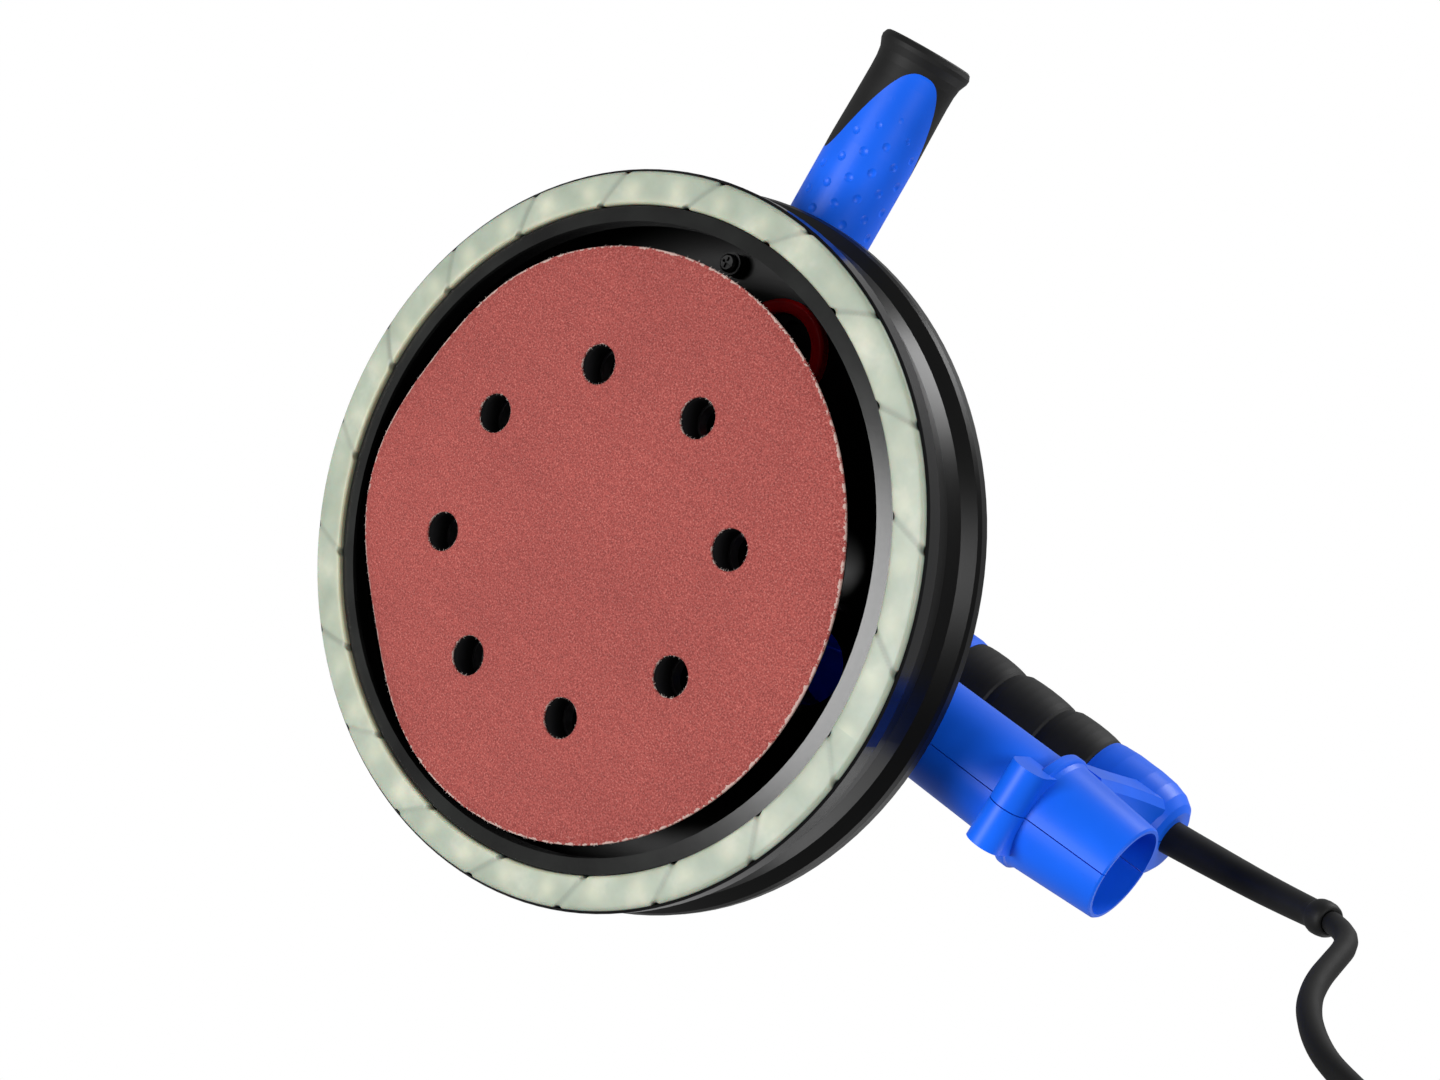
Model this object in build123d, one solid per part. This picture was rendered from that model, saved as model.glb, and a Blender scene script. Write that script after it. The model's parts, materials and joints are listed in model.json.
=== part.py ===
from build123d import *
import math
import os

# Hand-held round sander with a vertical motor, a rear D-handle over its dust pipe and a side handle.
# The tool stands face down: z = 0 is the abrasive face, +Z is the motor's axis,
# +X runs along the rear handle to the cord, and the side handle points along -Y.

# --- driving dimensions, mm -------------------------------------------------------------------
DISC_R = 112.5          # abrasive sheet
PAPER_T = 1.2
FOAM_T = 11.8
HOLE_R = 7.5            # dust holes
HOLE_PCD = 132.0
HOLES = 8
HOLE_PHASE = 16.7       # degrees, first dust hole from +X
ORBIT = 2.8             # eccentric throw
ORBIT_ANGLE = 64.0

RING_IN = 125.8         # translucent skirt
RING_OUT = 138.5
RING_FRONT = 7.2
LIP_IN = 119.5          # inner lip of the ring carrier
HEAD_R = 139.6
RIM_R = 141.5           # back rim of the shroud
WAIST_R = 134.5         # narrowest place of the shroud's wall
CARRIER_TOP = 17.0
BACK_Z = 49.0           # inner face of the shroud's back
BACK_TOP = 52.0
WALL = 2.5

GEAR_R = 50.0           # bearing housing between shroud and motor
GEAR_TOP = 84.0
CAN_R = 47.0            # motor housing
CAN_WALL = 3.0
CAN_TOP = 184.0
CAP_TOP = 198.0

GRIP_Z = 170.0          # axis of the rear handle
GRIP_R = 18.4           # handle core under the rubber
SHOULDER_R = 21.0
RUBBER_START = 87.0
RUBBER_END = 158.5
HANDLE_END = 196.8

PIPE_Z = 86.0           # axis of the dust pipe
PIPE_R = 20.0
PORT_R = 19.3          # outside of the hose port at its end
PORT_ROOT_R = 22.2
BORE_R = 17.5          # hose port and upright leg
DUCT_R = 16.9          # bore between them, which leaves a stop for the hose
BORE_STOP = 185.0
PIPE_END = 215.2
FLANGE_R = 23.8
LEG_X = 84.0            # the pipe's upright leg on the shroud
SPIGOT_IN = 15.0        # duct spigot of the shroud inside the leg
SPIGOT_OUT = 17.2
COLLAR_X = 175.0
BOSS_X = 174.0
BOSS_HALF = 16.4
SEAM = 0.4              # gap between the two half shells

SIDE_X = -17.4          # side handle's axis
SIDE_Z = 72.0
SIDE_R = 17.5
SIDE_ROOT = 63.0        # distances from the motor axis
SIDE_END = 215.5
SIDE_TURN = 45.5        # degrees, the way the tongues of the core face
TONGUE_TIP = 206.0
TONGUE_ROOT = 163.0
DENT_R = 3.55           # sphere that cuts a dimple
DENT_PITCH = 11.2
BOSS_FACE = 62.0

VENT_POS = (7.0, -90.0)
VENT_R = 21.0
VENT_BORE = 15.6
WINDOW_R = 3.4
WINDOW_AT = 10.8

CORD_R = 4.1
COIL_MEAN_R = 49.0
COIL_SIDE = 32.8        # three turns wide and four high
COIL_LOW = 1.2
COIL_POS = (398.0, 51.2)
CORD_ROUTE = [
    (271.0, -18.0, 143.0), (279.5, -20.5, 130.5), (285.5, -20.0, 115.0), (288.5, -17.0, 96.0),
    (291.5, -13.0, 77.0), (297.0, -9.5, 58.0), (306.0, -7.5, 40.5), (317.5, -7.0, 24.5),
    (332.0, -8.5, 12.0), (349.5, -8.5, 5.6), (369.0, -6.0, 5.3),
]
SLEEVE_ROUTE = [(196.0, -2.0, 169.2), (222.0, -5.8, 166.0), (249.0, -11.2, 157.5), CORD_ROUTE[0]]
SLEEVE_R = 6.4

FIT = 0.05              # radial running clearance
AIR = 0.4               # clearance between moving bodies

BASE = (Align.CENTER, Align.CENTER, Align.MIN)


# --- helpers ----------------------------------------------------------------------------------
def rod(radius, low, high, x=0.0, y=0.0):
    """An upright cylinder from z = low to z = high."""
    return Pos(x, y, low) * Cylinder(radius, high - low, align=BASE)


def rod_x(radius, start, end, y=0.0, z=0.0):
    """A cylinder along +X."""
    return Pos(start, y, z) * Rot(0, 90, 0) * Cylinder(radius, end - start, align=BASE)


def rod_y(radius, start, end, x=0.0, z=0.0):
    """A cylinder along +Y."""
    return Pos(x, start, z) * Rot(-90, 0, 0) * Cylinder(radius, end - start, align=BASE)


def block(low, high):
    """A box between two corners."""
    size = [b - a for a, b in zip(low, high)]
    return Pos(*low) * Box(*size, align=(Align.MIN, Align.MIN, Align.MIN))


def tube(outer, inner, low, high, x=0.0, y=0.0):
    """An upright ring."""
    return rod(outer, low, high, x, y) - rod(inner, low - 1, high + 1, x, y)


def turned(points):
    """A solid of revolution about Z from (radius, z) points."""
    return revolve(make_face(Plane.XZ * Polyline(*points, close=True)), Axis.Z)


def polar(radius, degrees):
    """A point on a circle about the motor axis."""
    return radius * math.cos(math.radians(degrees)), radius * math.sin(math.radians(degrees))


def around(count, radius, phase=0.0):
    """Evenly spaced points on a circle."""
    return [polar(radius, phase + 360.0 * i / count) for i in range(count)]


def group(solids):
    """Several separate solids kept together."""
    return Compound(children=list(solids))


def widest_circles(shape):
    """The circular edges of the largest radius."""
    return shape.edges().filter_by(GeomType.CIRCLE).group_by(SortBy.RADIUS)[-1]


def moved_all(shape, places):
    """Copies of one upright shape at (x, y) places."""
    return [Pos(x, y, 0) * shape for x, y in places]


ORBIT_X, ORBIT_Y = polar(ORBIT, ORBIT_ANGLE)


def pan_screw(radius, head_r, head_h, shank_top, seat):
    """A pan-head screw whose head hangs below its seat, with a cross recess."""
    head = rod(head_r, seat - head_h, seat)
    head = chamfer(head.edges().group_by(Axis.Z)[0], head_h * 0.35)
    slot = block((-head_r * 0.6, -0.5, seat - head_h - 1), (head_r * 0.6, 0.5, seat - head_h * 0.45))
    return head + rod(radius, seat, shank_top) - slot - Rot(0, 0, 90) * slot


# --- pad and its sheet (moves on the eccentric) -----------------------------------------------
def pad_holes(low, high):
    """The eight dust passages through the pad."""
    return [rod(HOLE_R, low, high, x, y) for x, y in around(HOLES, HOLE_PCD / 2, HOLE_PHASE)]


def on_orbit(shape):
    """Shifts a pad piece from the motor axis to the eccentric's axis."""
    return Pos(ORBIT_X, ORBIT_Y, 0) * shape


def abrasive_disc():
    disc = rod(DISC_R, 0, PAPER_T) - pad_holes(-1, PAPER_T + 1)
    return on_orbit(disc)


def foam_pad():
    foam = rod(DISC_R - 3.5, PAPER_T, PAPER_T + FOAM_T)
    foam = chamfer(foam.edges().group_by(Axis.Z)[-1], 3)
    return on_orbit(foam - pad_holes(0, PAPER_T + FOAM_T + 1))


def backing_plate():
    low = PAPER_T + FOAM_T
    plate = turned([(0, low), (104, low), (104, low + 3), (96, low + 5), (30, low + 5), (20, low + 11), (0, low + 11)])
    for i in range(HOLES):
        plate += Rot(0, 0, HOLE_PHASE + 22.5 + 45 * i) * block((24, -1.5, low + 4.5), (92, 1.5, low + 8))
    return on_orbit(plate - pad_holes(low - 1, low + 12) - rod(5, low - 1, low + 12))


def pad_spindle():
    spindle = rod(5, PAPER_T + FOAM_T, 41) + rod(8, 24, 26.2)
    return on_orbit(spindle)


def spindle_nut():
    nut = Pos(0, 0, 36.5) * extrude(RegularPolygon(7.5, 6), 4) - rod(5, 36, 41)
    return on_orbit(nut)


# --- rotor ------------------------------------------------------------------------------------
def eccentric_hub():
    hub = rod(22, 26.6, 47) + rod(9, 47, 50)
    hub -= on_orbit(rod(13, 26, 34.5))
    hub -= on_orbit(rod(10, 34, 42))
    return hub - rod(4, 43, 51)


def counterweight():
    weight = tube(38, 22, 36, 46) & (Rot(0, 0, ORBIT_ANGLE + 180) * block((0, -40, 30), (40, 40, 50)))
    return weight


def pad_bearing():
    outer = tube(13, 10.4, 26.6, 34.5)
    inner = tube(7.6, 5 + FIT, 26.6, 34.5)
    web = tube(10.4, 7.6, 28, 33)
    return on_orbit(outer + inner + web)


def armature_shaft():
    return rod(4, 43, 52) + rod(7.5, 50, 78) + rod(6, 78, 166) + rod(4, 166, 180)


def armature_core():
    core = tube(24, 6, 100, 140)
    slots = [Rot(0, 0, 30 * i) * block((16, -1.2, 99), (25, 1.2, 141)) for i in range(12)]
    return core - slots


def armature_winding():
    top = tube(21, 10, 140, 146)
    bottom = tube(21, 10, 94.5, 100)
    return group([fillet(widest_circles(part), 1.5) for part in (top, bottom)])


def commutator():
    drum = tube(13, 6, 148, 163)
    cuts = [Rot(0, 0, 15 * i) * block((11.5, -0.25, 149.5), (14, 0.25, 164)) for i in range(24)]
    return drum - cuts


def fan():
    wheel = tube(40, 6, 86, 87.5) + tube(12, 6, 86, 93)
    for i in range(12):
        wheel += Rot(0, 0, 30 * i) * Pos(25, 0, 0) * Rot(0, 0, 25) * block((-13, -0.8, 87), (13, 0.8, 92.5))
    return wheel & rod(40, 85, 95)


# --- shroud and light ring --------------------------------------------------------------------
def shroud():
    bowl = turned([
        (RING_OUT - 1, CARRIER_TOP), (HEAD_R, CARRIER_TOP), (136.4, 21), (WAIST_R, 27), (WAIST_R, 33),
        (136.6, 39.5), (RIM_R - 0.8, 44.5), (RIM_R, 46.5), (RIM_R, 50.5), (RIM_R - 1.5, BACK_TOP),
        (20, BACK_TOP), (20, BACK_Z), (RIM_R - 5, BACK_Z), (134, 40), (WAIST_R - WALL, 34),
        (WAIST_R - WALL, 26), (134, 20),
    ])
    for i in range(6):
        bowl += tube(4.6, 1.7, 43, BACK_Z + 1, *polar(113.2, -105.4 + 60 * i))
    for i in range(24):
        angle = 7.5 + 15 * i
        rib = Rot(0, 0, angle) * block((62, -1, BACK_TOP - 0.5), (132, 1, BACK_TOP + 1.6))
        near_leg = abs((angle + 180) % 360 - 180) < 31
        near_handle = 240 < angle % 360 < 300
        if not (near_leg or near_handle):
            bowl += rib
    bowl += rod(SPIGOT_OUT, BACK_Z, 72, LEG_X, 0)
    bowl -= rod(SPIGOT_IN, 40, 80, LEG_X, 0)
    for x, y in vent_windows(0):
        bowl -= rod(WINDOW_R, 40, 60, VENT_POS[0] + x, VENT_POS[1] + y)
    bowl -= rod(4, 40, 60, *VENT_POS)
    for x, y in around(4, 54.5, 45):
        bowl -= rod(2.1, 40, 60, x, y)
    for x, y in leg_screw_places():
        bowl -= rod(1.7, 40, 60, x, y)
    return bowl


def ring_carrier():
    body = turned([
        (LIP_IN, 8.6), (RING_IN - 0.3, 9.4), (RING_IN - 0.3, 14.6), (RING_OUT + 0.1, 14.6),
        (RING_OUT + 0.1, 9.0), (HEAD_R, 9.6), (HEAD_R, CARRIER_TOP), (LIP_IN, CARRIER_TOP),
    ])
    return body


def skirt_ring():
    ring = turned([
        (RING_IN + 0.6, RING_FRONT), (RING_OUT - 0.8, RING_FRONT), (RING_OUT, RING_FRONT + 0.8),
        (RING_OUT, 12.6), (RING_IN, 12.6), (RING_IN, RING_FRONT + 0.6),
    ])
    for i in range(20):
        cut = Rot(0, 0, 18 * i + 4 * math.sin(2.3 * i)) * Pos(132.2, 0, 0) * Rot(0, 0, 38)
        ring -= cut * block((-9.5, -0.2, 0), (9.5, 0.2, 9.4))
    return ring


def led_board():
    return tube(137.5, 127, 13.4, 14.6)


def leds():
    chip = block((-1.75, -1.4, 12.7), (1.75, 1.4, 13.4))
    return group([Rot(0, 0, 12 * i) * Pos(132.2, 0, 0) * chip for i in range(30)])


def carrier_screws():
    screw = pan_screw(1.6, 3.6, 2.4, 48.5, 43)
    return group(moved_all(screw, around(6, 113.2, -105.4)))


def vent_windows(turn):
    """Places of the three air windows about the dial's axis."""
    return around(3, WINDOW_AT, 90 + turn)


def vent_ring():
    """Grip ring on the inside of the round shutter."""
    ring = tube(VENT_R, VENT_BORE, 43.4, 48.4)
    return Pos(*VENT_POS, 0) * fillet(ring.edges().group_by(Axis.Z)[0], 1.6)


def vent_shutter():
    """Shutter plate on its stem; its windows line up with the shroud's when open."""
    plate = rod(VENT_BORE, 46.6, 48.4) + rod(4 - AIR / 2, 48.4, 52.4)
    for x, y in vent_windows(60):
        plate -= rod(WINDOW_R, 40, 60, x, y)
    return Pos(*VENT_POS, 0) * plate


def vent_knob():
    knob = rod(6.6, 52.4, 55.5) + block((-6, -1.3, 55.5), (6, 1.3, 57.2))
    return Pos(*VENT_POS, 0) * knob


# --- bearing housing --------------------------------------------------------------------------
def gear_housing():
    body = turned([
        (26, BACK_TOP), (60, BACK_TOP), (60, 55), (53, 57), (GEAR_R, 60), (GEAR_R, GEAR_TOP),
        (43, GEAR_TOP), (43, 70), (17.5, 70), (17.5, 58), (26, 56),
    ])
    for side in (-1, 1):
        boss = rod_y(11.5, 40, BOSS_FACE, SIDE_X, SIDE_Z)
        boss = boss if side > 0 else mirror(boss, Plane.XZ)
        body += boss
    body -= rod(43, 70, GEAR_TOP + 1)
    for side in (-1, 1):
        hole = rod_y(5.1, 46, BOSS_FACE + 1, SIDE_X, SIDE_Z)
        body -= hole if side > 0 else mirror(hole, Plane.XZ)
    for x, y in around(4, 54.5, 45):
        body -= rod(2.1, 50, 60, x, y)
        body -= rod(4.3, 56, 75, x, y)
    return body


def flange_screws():
    screw = rod(2, 44, 56) + rod(3.8, 56, 59.6) - Pos(0, 0, 57.5) * extrude(RegularPolygon(1.8, 6), 4)
    return group(moved_all(screw, around(4, 54.5, 45)))


def ball_bearing(bore, outer, low, high):
    """A shielded bearing modelled as one ring with its two races and shield steps."""
    races = tube(outer, outer * 0.82, low, high) + tube(bore * 1.35, bore, low, high)
    return races + tube(outer * 0.83, bore * 1.3, low + 0.8, high - 0.8)


# --- motor ------------------------------------------------------------------------------------
def vent_slots(low, high, count, width, span):
    """Upright slots through the motor housing, on both sides of it."""
    cuts = []
    for centre in (90, 270):
        for i in range(count):
            angle = centre + span * (i - (count - 1) / 2)
            cuts.append(Rot(0, 0, angle) * block((38, -width / 2, low), (52, width / 2, high)))
    return cuts


def motor_housing():
    body = turned([
        (CAN_R - CAN_WALL, GEAR_TOP), (CAN_R + 2.5, GEAR_TOP), (CAN_R + 2.5, GEAR_TOP + 4),
        (CAN_R, GEAR_TOP + 8), (CAN_R - 1, CAN_TOP), (CAN_R - CAN_WALL, CAN_TOP),
    ])
    for side in (-1, 1):
        pad = rod_y(10, CAN_R - 5, CAN_R + 1.6, 0, 155)
        body += pad if side > 0 else mirror(pad, Plane.XZ)
    body -= rod(CAN_R - CAN_WALL, GEAR_TOP - 1, CAN_TOP + 1)
    body -= vent_slots(90, 104, 9, 2.6, 7.5)
    body -= rod_y(7, -60, 60, 0, 155)
    return body


def stator_core():
    core = tube(CAN_R - CAN_WALL, 25, 98, 142)
    return core - [Rot(0, 0, a) * block((27.5, -9, 97), (41, 9, 143)) for a in (0, 180)]


def field_coils():
    coil = tube(40, 29.5, 93.5, 146.5) & block((20, -8.6, 90), (41, 8.6, 150))
    return group([coil, Rot(0, 0, 180) * coil])


def brush_holders():
    holder = block((-5, 14.5, 151), (5, 43.4, 160)) - block((-3.2, 10, 152.5), (3.2, 45, 158.5))
    return group([holder, Rot(0, 0, 180) * holder])


def carbon_brushes():
    brush = block((-3, 13.2, 152.8), (3, 27, 158.2))
    return group([brush, Rot(0, 0, 180) * brush])


def brush_springs():
    spring = rod_y(2.6, 27, 43.5, 0, 155.5) - rod_y(1.7, 26, 44, 0, 155.5)
    return group([spring, Rot(0, 0, 180) * spring])


def brush_caps():
    cap = rod_y(6.8, 43.8, CAN_R + 2.6, 0, 155) - block((-4.5, CAN_R + 1.4, 154.2), (4.5, CAN_R + 3, 155.8))
    return group([cap, Rot(0, 0, 180) * cap])


def bearing_bridge():
    bridge = tube(CAN_R - CAN_WALL, 40, 166, 184) + tube(15, 11, 166, 179) + rod(15, 179, 181.5)
    for angle in (45, 135, 225, 315):
        bridge += Rot(0, 0, angle) * block((13, -3, 168), (41, 3, 180))
    return bridge - rod(5, 165, 184)


def top_cap():
    cap = turned([
        (CAN_R - CAN_WALL, CAN_TOP), (CAN_R - 0.8, CAN_TOP), (CAN_R - 1.6, 189), (CAN_R - 6, 194.5),
        (CAN_R - 13, CAP_TOP), (0, CAP_TOP), (0, CAP_TOP - 3), (CAN_R - 14, CAP_TOP - 3),
        (CAN_R - 9, 192), (CAN_R - 5, 187.5),
    ])
    for i in range(-4, 5):
        half = 24 - abs(i) * 2.2
        cap -= block((i * 5.6 - 1.3, -half, CAP_TOP - 5), (i * 5.6 + 1.3, half, CAP_TOP + 1))
    for x, y in cap_screw_places():
        cap += rod(4.6, CAN_TOP, 193, x, y)
        cap -= rod(1.8, CAN_TOP - 1, 200, x, y)
        cap -= rod(3.4, 193.5, 200, x, y)
    return cap - handle_outline()


def cap_screw_places():
    return [polar(36.6, angle) for angle in (60, 120, 180, 240, 300)]


def cap_screws():
    screw = rod(1.6, CAN_TOP + 0.1, 193.5) + rod(3.1, 193.5, 195.9) - rod(1.3, 194.6, 198)
    return group(moved_all(screw, cap_screw_places()))


# --- rear handle and dust pipe (two half shells) ----------------------------------------------
def turned_x(points, z):
    """A solid of revolution about an axis along X at height z, from (x, radius) points."""
    return Pos(0, 0, z) * revolve(make_face(Polyline(*points, close=True)), Axis.X)


def handle_outline():
    return turned_x([
        (30, 0), (30, 24), (50, 23.5), (66, SHOULDER_R + 0.4), (84, SHOULDER_R + 0.5), (RUBBER_START, SHOULDER_R),
        (RUBBER_START, GRIP_R), (RUBBER_END, GRIP_R), (RUBBER_END, 20.2), (161, 20.7), (168, SHOULDER_R + 0.2),
        (179, SHOULDER_R), (186, 20.3), (191.5, 18.8), (195.2, 16.3), (HANDLE_END, 13.4), (HANDLE_END, 0),
    ], GRIP_Z)


def handle_cavity():
    return turned_x([(48, 0), (48, 19.5), (86, 17.2), (92, 15.4), (176, 15.4), (188, 13), (188, 0)], GRIP_Z)


def pipe_outline():
    pipe = turned_x([
        (LEG_X, 0), (LEG_X, PIPE_R), (COLLAR_X - 5, PIPE_R), (COLLAR_X - 1, PIPE_R + 0.4),
        (COLLAR_X, PIPE_R + 1.2), (COLLAR_X, FLANGE_R - 0.5), (COLLAR_X + 0.6, FLANGE_R),
        (COLLAR_X + 3.6, FLANGE_R), (COLLAR_X + 4.2, FLANGE_R - 0.5), (COLLAR_X + 4.6, PORT_ROOT_R + 0.5),
        (COLLAR_X + 6.4, PORT_ROOT_R), (PIPE_END - 0.7, PORT_R), (PIPE_END, PORT_R - 0.6), (PIPE_END, 0),
    ], PIPE_Z)
    pipe += rod(PIPE_R, BACK_TOP, PIPE_Z, LEG_X, 0) + Pos(LEG_X, 0, PIPE_Z) * Sphere(PIPE_R)
    foot = rod(PIPE_R + 3, BACK_TOP, BACK_TOP + 4, LEG_X, 0)
    for x, y in leg_screw_places():
        foot += rod(5, BACK_TOP, BACK_TOP + 4, x, y)
    boss_z = PIPE_Z - PIPE_R - 3.6
    boss = rod_y(7.2, -BOSS_HALF, BOSS_HALF, BOSS_X, boss_z)
    boss += block((BOSS_X - 7.2, -BOSS_HALF, boss_z), (BOSS_X + 7.2, BOSS_HALF, PIPE_Z - 8))
    return pipe + foot + boss


def leg_screw_places():
    """The two screws of the pipe's foot."""
    return [(LEG_X, -25.0), (LEG_X, 25.0)]


def pipe_bore():
    port = rod_x(BORE_R, BORE_STOP, PIPE_END + 1, 0, PIPE_Z)
    duct = rod_x(DUCT_R, LEG_X, BORE_STOP, 0, PIPE_Z)
    return port + duct + rod(BORE_R, BACK_TOP - 1, PIPE_Z, LEG_X, 0) + Pos(LEG_X, 0, PIPE_Z) * Sphere(BORE_R)


def web_section(x, z, depth, width):
    """One level section of the web, with chamfered corners."""
    return Pos(x, 0, z) * chamfer(Rectangle(depth, width).vertices(), 3)


def bridge():
    """The web that ties the pipe's collar to the handle's end."""
    return loft([web_section(180, 97, 17, 41), web_section(181, 125, 15, 36), web_section(184, 156, 19, 31)])


def clamp_band():
    """The band of the handle shells that grips the motor housing."""
    band = tube(CAN_R + 3.4, CAN_R - 3, 166.5, 182.5)
    return fillet(widest_circles(band), 1.2)


def blue_shell():
    shell = handle_outline() + bridge() + pipe_outline() + clamp_band()
    shell -= rod(CAN_R + 0.05, 110, CAP_TOP + 2)
    shell -= handle_cavity()
    shell -= sleeve_root(SLEEVE_R + 0.6)
    shell -= pipe_bore()
    shell -= block((55.4, -7.6, 140), (86.6, 7.6, 168))
    shell -= block((46, -4.2, 173.5), (71, 4.2, 200))
    shell -= rod_y(4.9, 10, 30, 74, GRIP_Z + 6)
    for x, z in shell_screw_places():
        shell -= rod_y(1.9, -12.2, 40, x, z)
        shell -= rod_y(3.9, 12.5, 40, x, z)
    for x, y in leg_screw_places():
        shell -= rod(1.9, 50, 60, x, y)
    return shell


def shell_screw_places():
    """The four screws across the half shells, in the XZ plane."""
    return [(BOSS_X, PIPE_Z - PIPE_R - 3.6), (181, 122.0), (183, GRIP_Z - 14.5), (183, GRIP_Z + 13.5)]


def half_shell(side):
    low, high = (-60, -SEAM / 2) if side < 0 else (SEAM / 2, 60)
    return BLUE_SHELL & block((30, low, 50), (230, high, 200))


def shell_screws():
    parts = []
    for x, z in shell_screw_places():
        screw = rod_y(3.3, 12.6, 15.5, x, z) + rod_y(1.8, -12, 12.6, x, z)
        parts.append(screw - rod_y(1.4, 13.6, 16, x, z))
    return group(parts)


def foot_screws():
    screw = rod(1.6, 46, BACK_TOP + 4) + rod(3.2, BACK_TOP + 4, BACK_TOP + 6.4)
    screw -= block((-2.2, -0.45, BACK_TOP + 5.4), (2.2, 0.45, BACK_TOP + 7))
    return group(moved_all(screw, leg_screw_places()))


def grip_rubber():
    """Soft sleeve with three finger swells."""
    outline = [(RUBBER_START + 0.1, GRIP_R), (RUBBER_START + 0.1, 20.9)]
    for start, end in ((87.1, 107.5), (109.5, 133.5), (136.0, 157.2)):
        for t in (0.12, 0.3, 0.5, 0.7, 0.88, 1.0):
            swell = math.sin(math.pi * min(1.0, 0.16 + t * 0.8)) ** 0.6
            outline.append((start + t * (end - start), 20.1 + 1.5 * swell))
        outline.append((end + 1.0, 19.8))
    outline += [(RUBBER_END - 0.1, 19.6), (RUBBER_END - 0.1, GRIP_R)]
    return turned_x(outline, GRIP_Z)


# --- switch gear in the handle ----------------------------------------------------------------
def trigger():
    paddle = block((56, -7, 143.5), (86, 7, 160))
    paddle = fillet(paddle.edges().group_by(Axis.Z)[0], 3)
    return paddle - rod_y(16, -10, 10, 71, 130.6)


def trigger_spring():
    return tube(2.6, 1.8, 160, 166.5, 64)


def switch_body():
    return block((60, -8, 166.6), (88, 8, 173.4)) + block((72, -5, 173.4), (86, 5, 178))


def lock_button():
    button = rod_y(4.5, 10.5, 24.8, 74, GRIP_Z + 6)
    return fillet(button.edges().sort_by(Axis.Y)[-1], 1)


def speed_dial():
    wheel = rod_y(10, -3.6, 3.6, 59, 184.5)
    notches = []
    for i in range(16):
        x, z = polar(10.2, 22.5 * i)
        notches.append(rod_y(0.9, -5, 5, 59 + x, 184.5 + z))
    return wheel - notches - rod_y(2.1, -5, 5, 59, 184.5)


def dial_pin():
    return rod_y(2.05, -9, 9, 59, 184.5)


def speed_board():
    return block((95, -10, 163), (135, 10, 164.6)) + block((100, -6, 164.6), (112, 6, 172))


# --- side handle ------------------------------------------------------------------------------
def along_side(shape):
    """Takes a shape built along +Z from the motor axis and lays it along -Y."""
    return Pos(SIDE_X, 0, SIDE_Z) * Rot(90, 0, 0) * shape


def side_profile():
    return turned([
        (0, SIDE_ROOT), (15, SIDE_ROOT), (17, SIDE_ROOT + 3), (SIDE_R, 80), (SIDE_R, 172), (17.1, 188),
        (16.9, 200), (17.0, 205), (17.5, 208.5), (18.8, 211.5), (19.0, 213.2), (18.2, 215), (17.4, SIDE_END),
        (0, SIDE_END),
    ])


def tongue():
    """Prism whose outline is the rounded tongue of the hard core."""
    edge = []
    for i in range(13):
        t = -1 + i / 6
        edge.append((17.9 * t, TONGUE_TIP - (TONGUE_TIP - TONGUE_ROOT) * abs(t) ** 2.8))
    base = Polyline(edge[-1], (17.9, 150), (-17.9, 150), edge[0])
    face = make_face(Plane.XZ * (Spline(*edge) + base))
    return Rot(0, 0, SIDE_TURN) * extrude(face, 25, both=True)


def soft_zone():
    """The part of the side handle that the soft cover takes."""
    return rod(30, TONGUE_ROOT, 230) - tongue()


def dimples():
    """Staggered rows of small dents on the hard core."""
    dents = []
    for column in range(16):
        angle = 22.5 * column
        side = abs((angle % 180) - 90) / 90
        limit = TONGUE_TIP - 5 - (TONGUE_TIP - TONGUE_ROOT) * math.cos(math.pi / 2 * side) ** 2.8
        start = 87 + DENT_PITCH / 2 * (column % 2)
        for row in range(11):
            z = start + DENT_PITCH * row
            if z < limit:
                x, y = polar(SIDE_R + 3.0, SIDE_TURN - 90 + angle)
                dents.append(Pos(x, y, z) * Sphere(DENT_R))
    return dents


def side_core():
    core = side_profile() - soft_zone() - rod(5, 60, 92)
    return along_side(core - dimples())


def side_cover():
    return along_side(side_profile() & soft_zone())


def side_stud():
    stud = rod(5, 47, 91.5)
    grooves = [tube(6, 4.6, 48.5 + 2 * i, 49.3 + 2 * i) for i in range(7)]
    return along_side(stud - grooves)


# --- cord -------------------------------------------------------------------------------------
def unit(a, b):
    step = [q - p for p, q in zip(a, b)]
    size = math.sqrt(sum(v * v for v in step))
    return [v / size for v in step], size


def cord_radii(points):
    """Largest tangent arcs that the runs allow, one for each corner."""
    radii = []
    for before, here, after in zip(points, points[1:], points[2:]):
        turn = Vector(*unit(before, here)[0]).get_angle(Vector(*unit(here, after)[0]))
        run = min(unit(before, here)[1], unit(here, after)[1])
        radii.append(0.45 * run / math.tan(math.radians(turn / 2)))
    return radii


def cord_tube():
    radii = cord_radii(CORD_ROUTE)
    path = FilletPolyline(*CORD_ROUTE, radius=radii)
    solid = sweep(Plane(origin=path @ 0, z_dir=path % 0) * Circle(CORD_R), path)
    print("cord radii", [round(r, 1) for r in radii])
    print("cord tube length", round(path.length, 1), "volume ratio",
          round(solid.volume / (math.pi * CORD_R ** 2 * path.length), 4))
    return solid


def sleeve_body():
    """Sleeve bent by the cord's weight, with a rolled collar at its end."""
    path = FilletPolyline(*SLEEVE_ROUTE, radius=cord_radii(SLEEVE_ROUTE))
    body = sweep(Plane(origin=path @ 0, z_dir=path % 0) * Circle(SLEEVE_R), path)
    collar = Plane(origin=path @ 1, z_dir=path % 1) * Pos(0, 0, -5) * Cylinder(SLEEVE_R + 0.7, 3, align=BASE)
    return body + collar


def sleeve_root(radius):
    """The straight stretch of the sleeve through the handle's end wall."""
    return rod_x(radius, 186, 198, SLEEVE_ROUTE[0][1], SLEEVE_ROUTE[0][2])


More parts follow.
